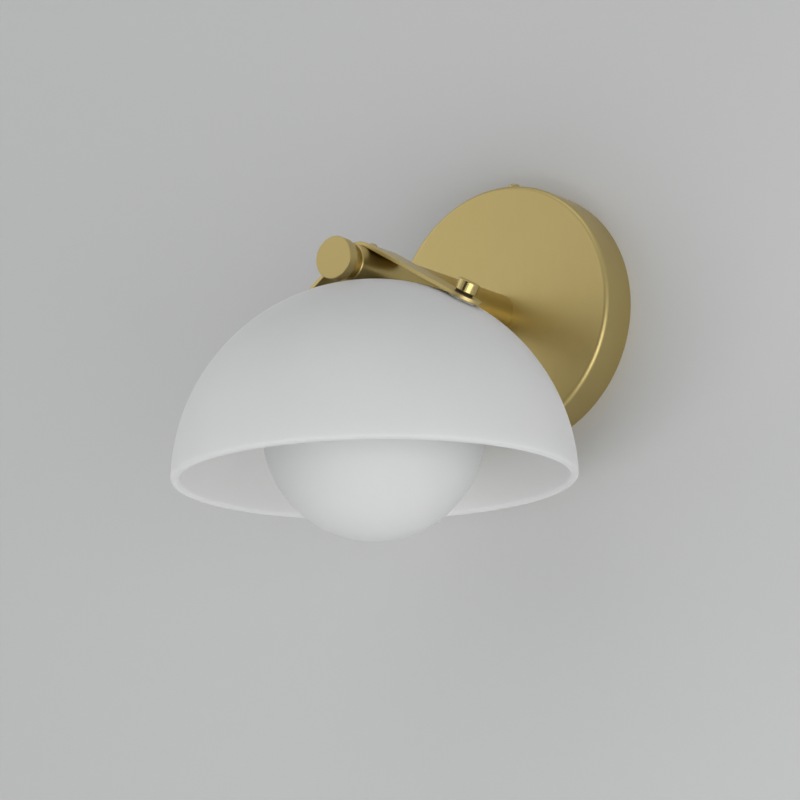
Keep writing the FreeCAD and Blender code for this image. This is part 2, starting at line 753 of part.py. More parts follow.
def lead(side):
    """One insulated wire: up the stem, along the arm and down into the terminal block."""
    x = side * pole_pitch / 2
    bend = lead_bend
    diagonal = bend * (1 - math.sqrt(0.5))
    foot = Vector(x, -head_reach, holder_floor)
    head_low = Vector(x, -head_reach, -bend)
    head_mid = Vector(x, -head_reach + diagonal, -diagonal)
    head_high = Vector(x, -head_reach + bend, 0)
    root_high = Vector(x, lead_drop - bend, 0)
    root_mid = Vector(x, lead_drop - diagonal, -diagonal)
    root_low = Vector(x, lead_drop, -bend)
    end = Vector(x, lead_drop, -block_top - block_height + 2 * lead_radius)
    path = Part.Wire([edge(foot, head_low), arc(head_low, head_mid, head_high),
                      edge(head_high, root_high), arc(root_high, root_mid, root_low),
                      edge(root_low, end)])
    section = Part.Wire([Part.makeCircle(lead_radius, foot, along_z)])
    return path.makePipeShell([section], True, False)


# ---- files -----------------------------------------------------------------------

parts = {
    "wall_bracket": wall_bracket,
    "earth_screw": earth_screw,
    "terminal_block": terminal_block,
    "terminal_screws": terminal_screws,
    "canopy_cover": canopy_cover,
    "canopy_screws": canopy_screws,
    "arm_tube": arm_tube,
    "arm_root_plug": arm_root_plug,
    "arm_nipple": arm_nipple,
    "arm_lock_washer": arm_lock_washer,
    "arm_hex_nut": arm_hex_nut,
    "arm_end_cap": arm_end_cap,
    "stem_block": stem_block,
    "stem_saddle": stem_saddle,
    "lamp_stem": lamp_stem,
    "shade_strap": shade_strap,
    "strap_screw": strap_screw,
    "glass_shade": glass_shade,
    "crown_gasket": crown_gasket,
    "under_washer": under_washer,
    "pad_washers": lambda: both_pads(pad_washer),
    "inner_washers": lambda: both_pads(inner_washer),
    "shade_studs": lambda: both_pads(shade_stud),
    "nut_collars": lambda: both_pads(nut_collar),
    "thumb_nut_left": lambda: thumb_nut(-1),
    "thumb_nut_right": lambda: thumb_nut(1),
    "globe_fitter": globe_fitter,
    "fitter_nut": fitter_nut,
    "globe_gasket": globe_gasket,
    "lamp_holder": lamp_holder,
    "lamp": lamp,
    "globe": globe,
    "line_lead": lambda: lead(-1),
    "neutral_lead": lambda: lead(1),
}

os.makedirs("parts", exist_ok=True)
for name, make in parts.items():
    shape = make()
    shape.exportStep("parts/" + name + ".step")
    print(f"{name}: {len(shape.Solids)} solid, {shape.Volume:.1f} mm3, valid {shape.isValid()}")
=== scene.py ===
"""Looks of a wall sconce: brushed brass canopy, arm and strap, opal glass shade and globe.

The wall is the plane Y = 0, the room lies towards -Y and Z is up. Sizes are millimetres
and are turned into metres where a mesh is made.
"""

import math

import bmesh
import bpy
import numpy as np
from mathutils import Matrix, Vector


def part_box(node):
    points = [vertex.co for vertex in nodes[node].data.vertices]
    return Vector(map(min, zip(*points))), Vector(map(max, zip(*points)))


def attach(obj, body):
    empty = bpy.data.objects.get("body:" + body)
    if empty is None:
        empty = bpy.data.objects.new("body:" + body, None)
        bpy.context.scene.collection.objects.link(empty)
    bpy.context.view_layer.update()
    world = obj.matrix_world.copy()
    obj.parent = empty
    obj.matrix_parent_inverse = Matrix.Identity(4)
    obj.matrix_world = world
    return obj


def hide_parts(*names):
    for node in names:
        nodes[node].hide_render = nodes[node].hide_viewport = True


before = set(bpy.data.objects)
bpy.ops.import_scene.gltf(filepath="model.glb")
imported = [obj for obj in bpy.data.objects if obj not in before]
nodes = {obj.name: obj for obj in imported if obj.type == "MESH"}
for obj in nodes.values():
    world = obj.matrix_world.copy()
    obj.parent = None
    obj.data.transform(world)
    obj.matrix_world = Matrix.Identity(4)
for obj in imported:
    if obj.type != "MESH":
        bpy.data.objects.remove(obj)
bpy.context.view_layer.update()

MM = 0.001                       # millimetres to metres

# ---- sizes of the pieces, in millimetres ------------------------------------------
slide_gap = 0.1                  # between a piece and the hole it slides into

canopy_radius = 63.5
canopy_depth = 20.5
canopy_wall = 1.2
canopy_corner = 2.2
canopy_screw_turn = math.radians(6.0)
canopy_screw_height = 13.0
canopy_screw_radius = 1.95
canopy_head_radius = 2.75
canopy_head_height = 3.0
canopy_screw_length = 7.5
canopy_screw_slot = (0.60, -0.80, 0.0)

nipple_radius = 4.9
nipple_bore = 3.6
nipple_start = 11.8
nipple_end = 33.5
pipe_pitch = 1.0
pipe_thread_depth = 0.4

arm_radius = 9.2
arm_bore = 7.7
head_reach = 120.0
arm_end = head_reach + 18.4
cap_gap = 5.0
cap_radius = 9.9
cap_thickness = 5.3
cap_neck_radius = 7.1
cap_plug_length = 6.4
arm_bevel = 0.4

strap_inner = 9.25
strap_width = 23.0
strap_end_radius = 9.2
strap_thickness = 1.8
strap_screw_radius = 1.5
strap_head_radius = 2.5
strap_head_height = 2.2
strap_spot_depth = 0.5
strap_screw_length = 6.0

screw_pitch = 0.7
screw_thread_depth = 0.22
head_rise_share = 0.45           # of a screw head's height: its domed part
head_slot_share = 0.6            # of a screw head's height: where its slot ends
head_edge = 0.22                 # how far a screw head's softened edge falls
head_edge_width = 0.25
slot_width = 1.0

shade_radius = 91.8
shade_wall = 4.0
shade_centre_drop = shade_radius + 7.4
shade_lip_rise = 2.2
shade_crown_drop = 10.2
shade_crown_fillet = 10.0
shade_stem_hole = 6.0

pad_washer_thickness = 0.6
collar_radius = 4.2
collar_height = 1.0
stud_radius = 2.45
turning_gap = 0.25
thumb_nut_radius = 5.1
thumb_nut_height = 5.0
thumb_nut_end = 0.8              # metal over the blind end of the nut's bore

globe_radius = 50.5
globe_wall = 2.5
globe_neck_radius = 19.0
globe_neck_fillet = 2.0
globe_neck_top = -17.45
globe_neck_straight = 9.4

# ---- places worked out from the sizes ---------------------------------------------
origin = np.zeros(3)
room = np.array([0.0, -1.0, 0.0])
up = np.array([0.0, 0.0, 1.0])
head = np.array([0.0, -head_reach, 0.0])
shade_centre = head - up * shade_centre_drop
strap_under = shade_radius + pad_washer_thickness
strap_over = strap_under + strap_thickness
strap_slope = math.acos((strap_under - strap_inner) / shade_centre_drop)
strap_leg = shade_centre_drop * math.sin(strap_slope)


def pad_axis(side):
    return np.array([side * math.sin(strap_slope), 0.0, math.cos(strap_slope)])


# ---- meshes -----------------------------------------------------------------------

def across(axis):
    """Two unit vectors square to an axis and to each other."""
    helper = np.array([1.0, 0, 0]) if abs(axis[0]) < 0.6 else np.array([0, 1.0, 0])
    first = np.cross(axis, helper)
    first = first / np.linalg.norm(first)
    return first, np.cross(axis, first)


def softened(points, radii, steps=6):
    """An outline with rounded corners.

    A corner P, with unit vectors a and b towards its neighbours and tangent length t,
    becomes P + t ((1 - s)^2 a + s^2 b) for s from 0 to 1. One more point just outside
    each end of the curve keeps the flats beside it flat.
    """
    points = np.array(points, float)
    radii = np.broadcast_to(np.array(radii, float), len(points)).copy()
    back = points[:-2] - points[1:-1]
    ahead = points[2:] - points[1:-1]
    back = back / np.linalg.norm(back, axis=1)[:, None]
    ahead = ahead / np.linalg.norm(ahead, axis=1)[:, None]
    half = np.arccos(np.clip((back * ahead).sum(1), -1, 1)) / 2
    reach = (radii[1:-1] / np.tan(half))[:, None, None]
    s = np.linspace(0, 1, steps)[None, :, None]
    curve = reach * ((1 - s) ** 2 * back[:, None] + s ** 2 * ahead[:, None])
    guard_in = (reach[:, 0] * 1.12)[:, None] * back[:, None]
    guard_out = (reach[:, 0] * 1.12)[:, None] * ahead[:, None]
    corner = np.concatenate([guard_in, curve, guard_out], axis=1) + points[1:-1][:, None]
    return np.concatenate([points[:1], corner.reshape(-1, 2), points[-1:]])


def arc_points(centre, radius, start, end, count):
    """Points centre + radius (cos, sin) of angles evenly spaced from start to end."""
    angles = np.linspace(start, end, count)
    return np.stack([centre[0] + radius * np.cos(angles), centre[1] + radius * np.sin(angles)], 1)


def travelled(points):
    """Length along a line of points, from its first point."""
    steps = np.linalg.norm(np.diff(points, axis=0), axis=1)
    return np.concatenate([[0.0], np.cumsum(steps)])


def turned(outline, start, axis, around):
    """A patch of revolution.

    Each outline point (r, h) becomes start + h axis + r (cos a u + sin a v), where u and v
    are square to the axis and a runs once round in the given number of steps.
    """
    u, v = across(axis)
    angle = np.linspace(0, 2 * np.pi, around + 1)
    radius, height = outline[:, 0], outline[:, 1]
    rim = np.cos(angle)[:, None] * u + np.sin(angle)[:, None] * v
    points = start + height[:, None, None] * axis + radius[:, None, None] * rim
    marks = np.stack(np.broadcast_arrays(travelled(outline)[:, None], angle), -1)
    return points, marks


def threaded(start, axis, radius, length, pitch, depth, bore=0.0):
    """A threaded rod or pipe, closed at its ends.

    Its radius falls by depth in a triangle wave of height / pitch + turn. The first ring and
    the last lie on the bore, or on the axis of a solid rod, and a pipe's bore runs back from
    the last ring to the first.
    """
    around, rings_a_turn = 48, 8
    u, v = across(axis)
    angle = np.linspace(0, 2 * np.pi, around + 1)
    height = np.linspace(0, length, max(8, int(length / pitch * rings_a_turn)))
    wave = np.abs(((height[:, None] / pitch + angle / (2 * np.pi)) % 1.0) * 2 - 1)
    inner = np.full((1, around + 1), bore)
    back = [inner] if bore else []
    r = np.concatenate([inner, radius - depth * wave, inner] + back)
    height = np.concatenate([[0.0], height, [length]] + [[0.0]] * len(back))
    points = start + height[:, None, None] * axis + r[..., None] * (
        np.cos(angle)[:, None] * u + np.sin(angle)[:, None] * v)
    marks = np.stack(np.broadcast_arrays(height[:, None], angle), -1)
    return points, marks


def slotted_head(start, axis, slot_along, radius, height):
    """A domed screw head with a driver slot, as a height over a disc.

    At a place x across the slot and y along it, the height is that of a sphere's cap over a
    short cylinder, and inside half the slot's width it is the slot's floor. Lines doubled at
    the slot's edges make its walls, the outermost points are repeated at the seat, and a flat
    copy of the grid closes the seat.
    """
    side = np.cross(axis, slot_along)
    rise = head_rise_share * height
    ball = (radius ** 2 + rise ** 2) / (2 * rise)
    w = slot_width / 2
    bend = np.sin(np.linspace(0, np.pi / 2, 14))
    outer = w + (radius - w) * bend
    x = np.concatenate([-outer[::-1], [-w * 0.9999], np.linspace(-w * 0.998, w * 0.998, 4),
                        [w * 0.9999], outer])
    t = np.sin(np.linspace(-np.pi / 2, np.pi / 2, 29))
    y = np.sqrt(np.maximum(radius ** 2 - x[:, None] ** 2, 0)) * t
    x = np.broadcast_to(x[:, None], y.shape)
    dome = height - ball + np.sqrt(ball ** 2 - x ** 2 - y ** 2)
    edge = np.clip((radius - np.hypot(x, y)) / head_edge_width, 0, 1)
    dome = dome - head_edge * (1 - np.sqrt(1 - (1 - edge) ** 2 * 0.999))
    floor = np.where(np.abs(x) < w * 0.9995, head_slot_share * height, dome)
    ends = ((0, 0), (1, 1))
    x, y, floor = np.pad(x, ends, "edge"), np.pad(y, ends, "edge"), np.pad(floor, ends)
    flat = start + x[..., None] * side + y[..., None] * slot_along
    marks = np.stack([x, y], -1)
    return [(flat + floor[..., None] * axis, marks), (flat, marks)]


def made(name, patches, finish, body, instead, sharp=38):
    """One mesh object from patches: grids of points with the marks that its finish follows.

    It moves with the given body and is shown instead of the named nodes. Edges that turn by
    more than the angle called sharp, in degrees, stay sharp.
    """
    verts, faces, marks = [], [], []
    base = 0
    for points, mark in patches:
        rows, cols = points.shape[:2]
        index = base + np.arange(rows * cols).reshape(rows, cols)
        quads = np.stack([index[:-1, :-1], index[1:, :-1], index[1:, 1:], index[:-1, 1:]], -1)
        verts.append(points.reshape(-1, 3) * MM)
        faces.append(quads.reshape(-1, 4))
        marks.append(mark.reshape(-1, 2))
        base += rows * cols
    verts, faces, marks = np.concatenate(verts), np.concatenate(faces), np.concatenate(marks)
    mesh = bpy.data.meshes.new(name)
    mesh.from_pydata(verts.tolist(), [], faces.tolist())
    layer = mesh.uv_layers.new(name="marks")
    layer.data.foreach_set("uv", marks[faces.ravel()].ravel())
    shape = bmesh.new()
    shape.from_mesh(mesh)
    bmesh.ops.remove_doubles(shape, verts=shape.verts, dist=1e-7)
    bmesh.ops.recalc_face_normals(shape, faces=shape.faces)
    shape.to_mesh(mesh)
    shape.free()
    mesh.shade_smooth()
    mesh.set_sharp_from_angle(angle=math.radians(sharp))
    mesh.materials.append(finish)
    piece = bpy.data.objects.new(name, mesh)
    bpy.context.scene.collection.objects.link(piece)
    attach(piece, body)
    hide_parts(*instead)


# ---- finishes ---------------------------------------------------------------------

class Wire:
    """An output of a finish's nodes. Arithmetic on it adds Math nodes."""

    def __init__(self, finish, socket):
        self.finish, self.socket = finish, socket

    def __add__(self, other):
        return self.finish.sum("ADD", self, other)

    def __rsub__(self, other):
        return self.finish.sum("SUBTRACT", other, self)

    def __mul__(self, other):
        return self.finish.sum("MULTIPLY", self, other)


class Finish:
    """A material: one shader with fixed values, and the nodes that vary what it shows."""

    def __init__(self, name, **fixed):
        self.material = bpy.data.materials.new(name)
        self.material.use_nodes = True
        self.tree = self.material.node_tree
        self.shader = self.tree.nodes["Principled BSDF"]
        for key, value in fixed.items():
            self.shader.inputs[key.replace("_", " ")].default_value = value

    def node(self, kind, settings=None, sockets=None, output=0):
        """A node with its settings put first, then the values or links of its sockets."""
        new = self.tree.nodes.new(kind)
        for key, value in (settings or {}).items():
            setattr(new, key, value)
        for key, value in (sockets or {}).items():
            self.feed(new.inputs[key], value)
        return Wire(self, new.outputs[output])

    def feed(self, socket, value):
        if isinstance(value, Wire):
            self.tree.links.new(value.socket, socket)
        else:
            socket.default_value = value

    def sum(self, operation, first, second):
        return self.node("ShaderNodeMath", {"operation": operation}, {0: first, 1: second})

    def place(self):
        return self.node("ShaderNodeTexCoord", output=3)

    def marks(self):
        """The two marks of a made piece: along its outline, and round or across it."""
        split = self.tree.nodes.new("ShaderNodeSeparateXYZ")
        uv = self.node("ShaderNodeUVMap", {"uv_map": "marks"})
        self.tree.links.new(uv.socket, split.inputs[0])
        return Wire(self, split.outputs[0]), Wire(self, split.outputs[1])

    def vector(self, x, y, z):
        return self.node("ShaderNodeCombineXYZ", None, {0: x, 1: y, 2: z})

    def trig(self, operation, value):
        return self.node("ShaderNodeMath", {"operation": operation}, {0: value})

    def noise(self, where, scale, detail=2.0, rough=0.5):
        return self.node("ShaderNodeTexNoise", {"noise_dimensions": "3D"},
                         {"Vector": where, "Scale": scale, "Detail": detail, "Roughness": rough})

    def range(self, value, low, high, to_low, to_high):
        return self.node("ShaderNodeMapRange", {"clamp": True},
                         {"Value": value, "From Min": low, "From Max": high,
                          "To Min": to_low, "To Max": to_high})

    def mixed(self, amount, first, second):
        """A colour between two, by socket index so that the colour inputs are the ones fed."""
        new = self.tree.nodes.new("ShaderNodeMix")
        new.data_type = "RGBA"
        self.feed(new.inputs[0], amount)
        self.feed(new.inputs[6], first if isinstance(first, Wire) else (*first, 1))
        self.feed(new.inputs[7], second if isinstance(second, Wire) else (*second, 1))
        return Wire(self, new.outputs[2])

    def show(self, **sockets):
        for key, value in sockets.items():
            self.feed(self.shader.inputs[key.replace("_", " ")], value)

    def relief(self, height, distance):
        """Bumps of a height field, whose depth is given in metres."""
        bump = self.node("ShaderNodeBump", None,
                         {"Height": height, "Distance": distance, "Strength": 1.0})
        self.feed(self.shader.inputs["Normal"], bump)
        return self


brass_light = (0.60, 0.485, 0.212)
brass_deep = (0.53, 0.415, 0.168)


def brushed_turned_brass(name, smooth, dull):
    """Brass on turned pieces: fine lines that run round the axis."""
    f = Finish(name, Metallic=1.0, Roughness=dull, Anisotropic=0.3)
    along, angle = f.marks()
    circle = f.vector(along, f.trig("COSINE", angle) * 1.2, f.trig("SINE", angle) * 1.2)
    fine = f.noise(circle, 9.0, 3.0, 0.65)
    broad = f.noise(f.place(), 38.0, 2.0)
    f.show(Base_Color=f.mixed(fine * 0.45 + broad * 0.45, brass_deep, brass_light),
           Roughness=f.range(fine + broad * 0.6, 0.5, 1.1, smooth, dull))
    return f.relief(fine, 0.000006).material


def brushed_flat_brass():
    """Satin brass on the canopy's face and wall: a soft grain in one direction."""
    f = Finish("satin_brass_canopy", Metallic=1.0, Roughness=0.4, Anisotropic=0.15)
    spot = f.place()
    stretched = f.node("ShaderNodeMapping", None, {"Vector": spot, "Scale": (900.0, 900.0, 90.0)})
    fine = f.noise(stretched, 1.0, 2.0, 0.6)
    broad = f.noise(spot, 22.0, 2.0)
    f.show(Base_Color=f.mixed(fine * 0.35 + broad * 0.55, brass_deep, brass_light),
           Roughness=f.range(fine + broad * 0.6, 0.5, 1.1, 0.35, 0.46))
    return f.relief(fine, 0.000005).material


def brushed_strap_brass():
    """Satin brass on the strap: straight lines from end to end."""
    f = Finish("satin_brass_strap", Metallic=1.0, Roughness=0.36, Anisotropic=0.2)
    along, across_it = f.marks()
    fine = f.noise(f.vector(along * 0.06, across_it * 3.2, 0.0), 2.0, 3.0, 0.6)
    broad = f.noise(f.place(), 45.0, 2.0)
    f.show(Base_Color=f.mixed(fine * 0.45 + broad * 0.45, brass_deep, brass_light),
           Roughness=f.range(fine + broad * 0.6, 0.5, 1.1, 0.31, 0.42))
    return f.relief(fine, 0.000006).material


def machined_brass():
    """Plain turned brass on the pieces inside, duller in blotches where it has tarnished."""
    f = Finish("machined_brass", Metallic=1.0, Roughness=0.3)
    spot = f.place()
    blotch = f.noise(spot, 120.0, 4.0, 0.6)
    tool = f.noise(f.node("ShaderNodeMapping", None, {"Vector": spot, "Scale": (300, 2600, 300)}),
                   1.0, 2.0)
    f.show(Base_Color=f.mixed(blotch, (0.52, 0.36, 0.14), (0.68, 0.52, 0.24)),
           Roughness=f.range(blotch + tool * 0.5, 0.4, 1.1, 0.22, 0.42))
    return f.relief(tool, 0.00001).material


def etched_opal(name, deep, light, reach):
    """Opal glass with an acid-etched surface: a matt skin over a milky body.

    Light travels about the length called reach inside the glass, in metres.
    """
    f = Finish(name, Roughness=0.5, IOR=1.5, Subsurface_Weight=1.0,
               Subsurface_Radius=(1.0, 0.97, 0.94), Subsurface_Scale=reach,
               Specular_IOR_Level=0.35)
    spot = f.place()
    cloud = f.noise(spot, 16.0, 3.0, 0.5)
    grain = f.noise(spot, 2600.0, 2.0, 0.6)
    ripple = f.noise(spot, 30.0, 1.0)
    f.show(Base_Color=f.mixed(cloud, deep, light),
           Roughness=f.range(grain + cloud * 0.4, 0.4, 1.0, 0.44, 0.58))
    return f.relief(grain * 0.02 + ripple, 0.00006).material


def zinc_plate():
    """Zinc on steel: pale crystals of slightly different grey under a fine roll grain."""
    f = Finish("zinc_plate", Metallic=1.0, Roughness=0.38)
    spot = f.place()
    cells = f.node("ShaderNodeTexVoronoi", {"feature": "F1"}, {"Vector": spot, "Scale": 420.0}, 1)
    grey = f.node("ShaderNodeRGBToBW", None, {0: cells})
    grain = f.noise(f.node("ShaderNodeMapping", None, {"Vector": spot, "Scale": (2400, 600, 200)}),
                    1.0, 2.0)
    f.show(Base_Color=f.mixed(grey * 0.5 + grain * 0.4, (0.5, 0.52, 0.55), (0.72, 0.73, 0.74)),
           Roughness=f.range(grey + grain, 0.3, 1.6, 0.28, 0.5))
    return f.relief(grain, 0.000008).material


def coloured(name, deep, light, scale, smooth, dull, depth, coarse=0.55, **fixed):
    """A moulded, glazed or coated surface: a mottled colour under a fine skin of bumps."""
    f = Finish(name, **fixed)
    spot = f.place()
    mottle = f.noise(spot, scale * 0.12, 3.0, 0.55)
    skin = f.noise(spot, scale, 3.0, coarse)
    f.show(Base_Color=f.mixed(mottle, deep, light),
           Roughness=f.range(skin + mottle * 0.4, 0.4, 1.0, smooth, dull))
    return f.relief(skin, depth).material


turned_brass = brushed_turned_brass("satin_brass_turned", 0.30, 0.42)
cap_brass = brushed_turned_brass("satin_brass_cap", 0.40, 0.52)
bright_brass = brushed_turned_brass("bright_brass_turned", 0.15, 0.22)
canopy_brass = brushed_flat_brass()
strap_brass = brushed_strap_brass()
inner_brass = machined_brass()
shade_opal = etched_opal("etched_opal_shade", (0.64, 0.65, 0.65), (0.685, 0.69, 0.685), 0.022)
globe_opal = etched_opal("etched_opal_globe", (0.70, 0.71, 0.705), (0.74, 0.75, 0.74), 0.005)
zinc = zinc_plate()
white_coat = coloured("white_powder_coat", (0.78, 0.78, 0.76), (0.86, 0.86, 0.84), 900, 0.32,
                      0.5, 0.00003)
green_zinc = coloured("green_dyed_zinc", (0.03, 0.2, 0.07), (0.09, 0.38, 0.15), 700, 0.25, 0.45,
                      0.00001, Metallic=0.8)
black_moulding = coloured("black_moulding", (0.018, 0.018, 0.02), (0.045, 0.045, 0.05), 1100,
                          0.42, 0.6, 0.00002)
soft_white = coloured("white_silicone", (0.72, 0.72, 0.70), (0.83, 0.83, 0.81), 500, 0.55, 0.75,
                      0.00001)
bisque = coloured("ceramic_bisque", (0.76, 0.74, 0.69), (0.87, 0.86, 0.82), 1300, 0.5, 0.75,
                  0.00003, 0.7)
frosted = coloured("frosted_glass", (0.80, 0.80, 0.77), (0.88, 0.88, 0.85), 1800, 0.3, 0.5,
                   0.00001)
# Near-black washers under the thumb nuts: their dark colour is painted shade for the gap under
# each nut.
washer_painted_shade = coloured("washer_painted_shade", (0.016, 0.009, 0.006), (0.034, 0.020, 0.013), 1400, 0.5, 0.7,
                      0.00002)
black_sleeve = coloured("black_insulation", (0.015, 0.015, 0.015), (0.04, 0.04, 0.04), 900, 0.35,
                        0.5, 0.000006)
white_sleeve = coloured("white_insulation", (0.74, 0.74, 0.72), (0.84, 0.84, 0.82), 900, 0.35,
                        0.5, 0.000006)

finish_of = {
    "wall_bracket": zinc, "arm_lock_washer": zinc, "arm_hex_nut": zinc, "fitter_nut": zinc,
    "terminal_screws": zinc, "earth_screw": green_zinc, "terminal_block": black_moulding,
    "arm_root_plug": inner_brass, "arm_nipple": inner_brass, "stem_block": inner_brass,
    "stem_saddle": turned_brass, "lamp_stem": inner_brass, "shade_studs": inner_brass,
    "crown_gasket": soft_white, "under_washer": soft_white, "pad_washers": soft_white,
    "inner_washers": soft_white, "globe_gasket": soft_white, "globe_fitter": white_coat,
    "lamp_holder": bisque, "lamp": frosted, "line_lead": black_sleeve,
    "neutral_lead": white_sleeve, "canopy_cover": canopy_brass, "canopy_screws": turned_brass,
    "arm_tube": turned_brass, "arm_end_cap": cap_brass, "shade_strap": strap_brass,
    "strap_screw": turned_brass, "nut_collars": washer_painted_shade, "thumb_nut_left": bright_brass,
    "thumb_nut_right": bright_brass, "glass_shade": shade_opal, "globe": globe_opal,
}
for name, finish in finish_of.items():
    nodes[name].data.materials.clear()
    nodes[name].data.materials.append(finish)


# ---- pieces -----------------------------------------------------------------------

def canopy():
    """The spun cup: out along the face, round the corner, back to the wall and in again."""
    hole = nipple_radius + slide_gap
    inner = canopy_radius - canopy_wall
    floor = canopy_depth - canopy_wall
    corner = arc_points((canopy_radius - canopy_corner, canopy_depth - canopy_corner),
                        canopy_corner, math.pi / 2, 0, 20)
    inside = arc_points((canopy_radius - canopy_corner, canopy_depth - canopy_corner),
                        canopy_corner - canopy_wall, 0, math.pi / 2, 12)
    face = np.linspace(hole, canopy_radius - canopy_corner - 0.05, 24)
    front = np.stack([face, np.full(24, canopy_depth)], 1)
    foot = softened([(canopy_radius, 2.0), (canopy_radius, 0), (inner, 0), (inner, 2.0)], 0.25)
    back = np.stack([face[::-1], np.full(24, floor)], 1)
    outline = np.concatenate([front, corner, foot, inside, back, front[:1]])
    made("canopy", [turned(outline, origin, room, 256)], canopy_brass, "fixture",
         ["canopy_cover"], 50)


def side_screws():
    """Two slotted screws square to the canopy's wall, opposite each other."""
    patches = []
    heading = np.array(canopy_screw_slot)
    for turn in (canopy_screw_turn, canopy_screw_turn + math.pi):
        axis = np.array([math.sin(turn), 0, math.cos(turn)])
        seat = room * canopy_screw_height + axis * canopy_radius
        slot = heading - (heading @ axis) * axis
        patches += slotted_head(seat, axis, slot / np.linalg.norm(slot), canopy_head_radius,
                                canopy_head_height)
        patches.append(threaded(seat - axis * canopy_screw_length, axis, canopy_screw_radius,
                                canopy_screw_length, screw_pitch, screw_thread_depth))
    made("canopy_side_screws", patches, turned_brass, "fixture", ["canopy_screws"])


def arm():
    """The tube, with a fine bevel at its free end, and the disc on a neck that closes it."""
    tube = softened([(arm_bore, canopy_depth), (arm_radius, canopy_depth),
                     (arm_radius, arm_end - arm_bevel), (arm_radius - arm_bevel, arm_end),
                     (arm_bore, arm_end), (arm_bore, canopy_depth)],
                    [0, 0.02, 0.12, 0.08, 0.1, 0])
    made("arm", [turned(tube, origin, room, 160)], turned_brass, "fixture", ["arm_tube"], 60)
    back = arm_end + cap_gap
    front = back + cap_thickness
    plug = arm_end - cap_plug_length
    cap = softened([(0, plug), (arm_bore - 0.05, plug),
                    (arm_bore - 0.05, arm_end), (cap_neck_radius, arm_end),
                    (cap_neck_radius, back), (cap_radius, back), (cap_radius, front),
                    (0, front)],
                   [0, 0.3, 0.02, 0.02, 0.15, 0.4, 0.4, 0])
    made("end_cap", [turned(cap, origin, room, 160)], cap_brass, "fixture",
         ["arm_end_cap"], 60)


def nipple_and_stem():
    """The two hollow threaded rods."""
    low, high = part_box("lamp_stem")
    bottom, top = low.z / MM, high.z / MM
    for name, node, start, axis, length in (
            ("root_nipple", "arm_nipple", room * nipple_start, room, nipple_end - nipple_start),
            ("hollow_stem", "lamp_stem", head + up * bottom, up, top - bottom)):
        made(name, [threaded(start, axis, nipple_radius, length, pipe_pitch, pipe_thread_depth,
                             nipple_bore)], inner_brass, "fixture", [node])


def strap():
    """The bent band.

    Its flat plan has straight sides that taper along each leg to a round end, and a ring of
    share k is that plan drawn in to k of its half width. A place s along the plan is then
    bent: over the tube it turns about the arm's axis, and past the arch it runs on along the
    straight leg. The section gives each ring its share and its height square to the band.
    """
    half = strap_width / 2
    arch = (strap_inner + strap_thickness / 2) * strap_slope
    end = arch + strap_leg
    touch = math.atan2(strap_leg, half) + math.pi / 2 - math.acos(
        strap_end_radius / math.hypot(strap_leg, half))
    section = softened([(half, 0), (0, 0), (0, strap_thickness), (half, strap_thickness)],
                       [0, 0.25, 0.25, 0], 7)
    share = (1 - section[:, 0] / half)[:, None]
    height = section[:, 1][:, None]
    side_end = end + strap_end_radius * math.cos(touch)
    leg = np.linspace(arch, side_end, 16)
    run = np.concatenate([-leg[::-1], np.linspace(-arch, arch, 31)[1:-1], leg])
    taper = np.interp(np.abs(run), [arch, side_end], [half, strap_end_radius * math.sin(touch)])
    turn = np.linspace(touch, -touch, 33)[1:-1]
    centre = np.concatenate([run, end + 0 * turn, run[::-1], -end + 0 * turn, run[:1]])
    ahead = np.concatenate([0 * run, np.cos(turn), 0 * run, -np.cos(turn), [0]])
    ahead = ahead * strap_end_radius
    aside = np.concatenate([taper, strap_end_radius * np.sin(turn), -taper[::-1],
                            -strap_end_radius * np.sin(turn), taper[:1]])
    s = centre + ahead * share
    t = aside * share
    angle = strap_slope * np.clip(s / arch, -1, 1)
    past = np.maximum(np.abs(s) - arch, 0)
    level = strap_inner + height
    x = np.sin(angle) * level + np.sign(s) * math.cos(strap_slope) * past
    z = np.cos(angle) * level - math.sin(strap_slope) * past
    points = np.stack([x, t - head_reach, z], -1)
    made("strap", [(points, np.stack([s, t], -1))], strap_brass, "fixture", ["shade_strap"])


def strap_screw():
    """The low slotted screw that pins the band to the tube."""
    seat = head + up * (strap_inner + strap_thickness - strap_spot_depth)
    patches = slotted_head(seat, up, np.array([1.0, 0, 0]), strap_head_radius, strap_head_height)
    patches.append(threaded(seat - up * strap_screw_length, up, strap_screw_radius,
                            strap_screw_length, screw_pitch, screw_thread_depth))
    made("strap_pin_screw", patches, turned_brass, "fixture", ["strap_screw"])


def thumb_nuts():
    """Two plain round nuts with softened edges, each over a narrow collar."""
    collars = []
    for side, body, node in ((-1, "left_nut", "thumb_nut_left"),
                             (1, "right_nut", "thumb_nut_right")):
        axis = pad_axis(side)
        low = collar_height + turning_gap
        top = low + thumb_nut_height
        bore = stud_radius + 0.06
        nut = softened([(bore, low), (thumb_nut_radius, low), (thumb_nut_radius, top), (0, top)],
                       [0, 0.3, 0.45, 0])
        inside = np.array([(0, top - thumb_nut_end), (bore, top - thumb_nut_end), (bore, low)])
        seat = shade_centre + axis * strap_over
        made(node.replace("thumb_nut", "nut"), [turned(nut, seat, axis, 96),
                                               turned(inside, seat, axis, 96)],
             bright_brass, body, [node], 60)
        hole = stud_radius + slide_gap
        ring = softened([(hole, 0), (collar_radius, 0), (collar_radius, collar_height),
                         (hole, collar_height), (hole, 0)],
                        [0, 0.08, 0.08, 0.02, 0])
        collars.append(turned(ring, seat, axis, 64))
    # The washers are near-black: painted shade for the dark gap under each nut.
    made("nut_washers", collars, washer_painted_shade, "fixture", ["nut_collars"])


